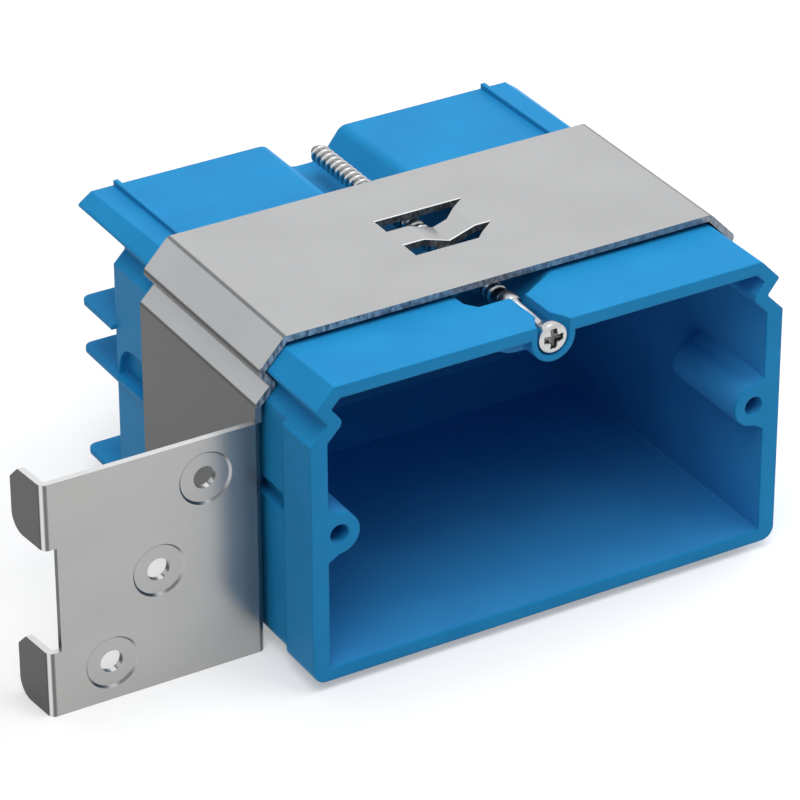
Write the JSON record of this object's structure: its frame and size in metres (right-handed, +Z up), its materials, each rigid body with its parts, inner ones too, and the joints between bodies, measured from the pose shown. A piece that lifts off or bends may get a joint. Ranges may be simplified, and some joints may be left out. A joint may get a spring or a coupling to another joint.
{
  "type": "adjustable switch box",
  "caption": "Plastic wall box for a switch, with a steel stud bracket on side rails and a long screw that sets how far the box stands out.",
  "frame": {"origin": "midway between the two device-screw holes, on the plane of the front rim", "axes": "+X along the long side of the box, away from the stud flange; +Y into the wall; +Z up, towards the screw and the bracket's top plate"},
  "size_m": [0.1368, 0.0864, 0.0605],
  "materials": {
    "blue_pvc": "moulded satin",
    "galvanised_steel": "satin",
    "zinc_plated_steel": "bright"
  },
  "bodies": {
    "bracket": {"stud_bracket": "galvanised_steel"},
    "box": {"box_body": "blue_pvc"},
    "screw": {"adjusting_screw": "zinc_plated_steel"}
  },
  "joints": [
    {"name": "depth_slide", "type": "slide", "parent": "bracket", "child": "box", "axis": [0, -1, 0], "range_m": [-0.016, 0.0254]},
    {"name": "screw_turn", "type": "hinge", "parent": "box", "child": "screw", "pos_m": [0, 0, 0.02545], "axis": [0, 1, 0], "range_deg": [-5450, 3450]}
  ],
  "couplings": [
    {"joint": "screw_turn", "follows": "depth_slide", "rad_per_m": -3710.5}
  ]
}
